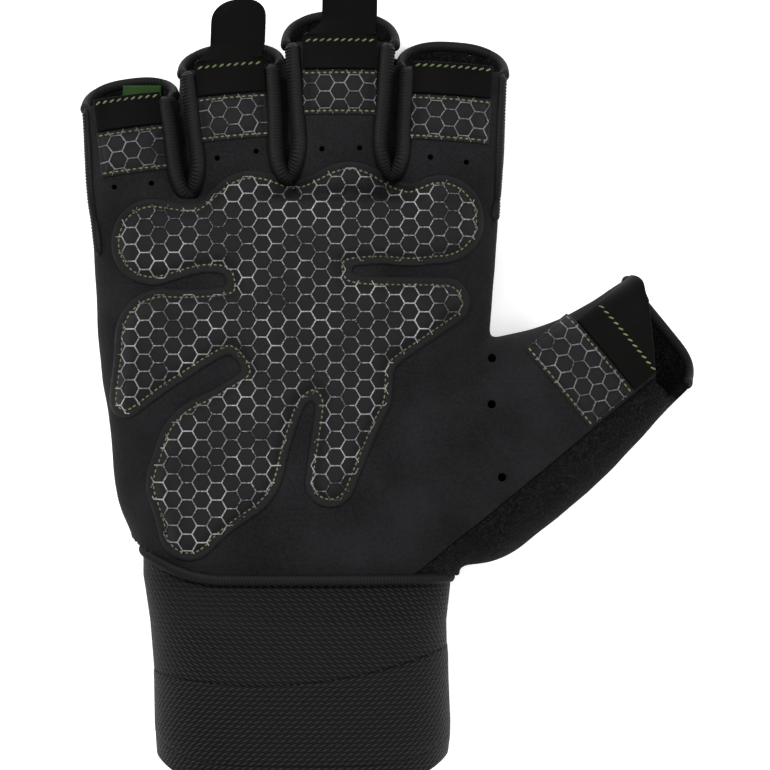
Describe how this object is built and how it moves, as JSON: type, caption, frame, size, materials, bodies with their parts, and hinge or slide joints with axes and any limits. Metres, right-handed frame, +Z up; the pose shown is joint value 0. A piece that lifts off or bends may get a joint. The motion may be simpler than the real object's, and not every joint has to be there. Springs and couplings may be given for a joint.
{
  "type": "weightlifting glove",
  "caption": "Right-hand half-finger weightlifting glove with a lobed honeycomb grip pad on the palm, pull tabs at the finger mouths and a woven elastic wrist wrap.",
  "frame": {"origin": "on the flat of the glove's back, under the centre of the palm", "axes": "+Y from the wrist to the fingers, +X to the thumb's side, +Z up out of the palm"},
  "size_m": [0.1582, 0.2029, 0.047],
  "materials": {
    "palm_leather": "napped synthetic suede, charcoal, matte",
    "towelling": "looped terry stretch cloth, charcoal",
    "silicone_grip": "padded suede under a printed web of glossy grey silicone hexagons",
    "rim_leather": "smooth turned leather, near black",
    "ribbed_elastic": "woven and folded elastic, black, finely ribbed",
    "olive_trim": "olive green cloth and sewing thread"
  },
  "bodies": {
    "root": {"palm_panel": "palm_leather", "back_panel": "towelling", "palm_pad": "silicone_grip", "fourchette_little_ring": "ribbed_elastic", "fourchette_ring_middle": "ribbed_elastic", "fourchette_middle_index": "ribbed_elastic", "side_strip_little": "ribbed_elastic", "side_strip_index": "ribbed_elastic", "rim_facing_little": "rim_leather", "grip_patch_little": "silicone_grip", "mouth_binding_little": "ribbed_elastic", "rim_facing_ring": "rim_leather", "grip_patch_ring": "silicone_grip", "mouth_binding_ring": "ribbed_elastic", "rim_facing_middle": "rim_leather", "grip_patch_middle": "silicone_grip", "mouth_binding_middle": "ribbed_elastic", "rim_facing_index": "rim_leather", "grip_patch_index": "silicone_grip", "mouth_binding_index": "ribbed_elastic", "rim_facing_thumb": "rim_leather", "grip_patch_thumb": "silicone_grip", "mouth_binding_thumb": "ribbed_elastic", "wrap_upper_turn": "ribbed_elastic", "wrap_lower_turn": "ribbed_elastic", "wrap_hem": "ribbed_elastic", "wrap_seam_binding": "ribbed_elastic", "wrap_closure": "ribbed_elastic", "inner_label": "olive_trim"}
  },
  "joints": []
}
